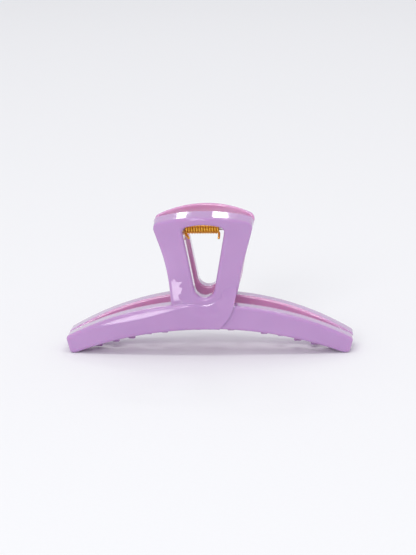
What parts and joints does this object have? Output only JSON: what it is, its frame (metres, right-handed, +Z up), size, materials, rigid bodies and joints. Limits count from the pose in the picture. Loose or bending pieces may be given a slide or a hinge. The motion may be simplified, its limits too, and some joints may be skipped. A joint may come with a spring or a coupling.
{
  "type": "claw clip",
  "caption": "Large hair claw with arched wings, inner teeth and an open squeeze handle: mirror-image plastic halves hinged on a pin and closed by a torsion spring.",
  "frame": {"origin": "on the ground under the middle of the clip, midway between its four wing tips", "axes": "+X along the clip from the ribbon's wing to the other wing, +Y from the front half to the back half, +Z up"},
  "size_m": [0.131, 0.0316, 0.0661],
  "materials": {
    "lilac_plastic": "glossy",
    "gold_wire": "polished",
    "steel_pin": "satin"
  },
  "bodies": {
    "front": {"front_half": "lilac_plastic", "hinge_pin": "steel_pin", "torsion_spring": "gold_wire"},
    "back": {"back_half": "lilac_plastic"}
  },
  "joints": [
    {"name": "claw_hinge", "type": "hinge", "parent": "front", "child": "back", "pos_m": [0, 0, 0.0564], "axis": [1, 0, 0], "range_deg": [0, 45], "stiffness_Nm_per_rad": 0.12, "springref_deg": -45.84, "deforming": ["torsion_spring"]}
  ]
}
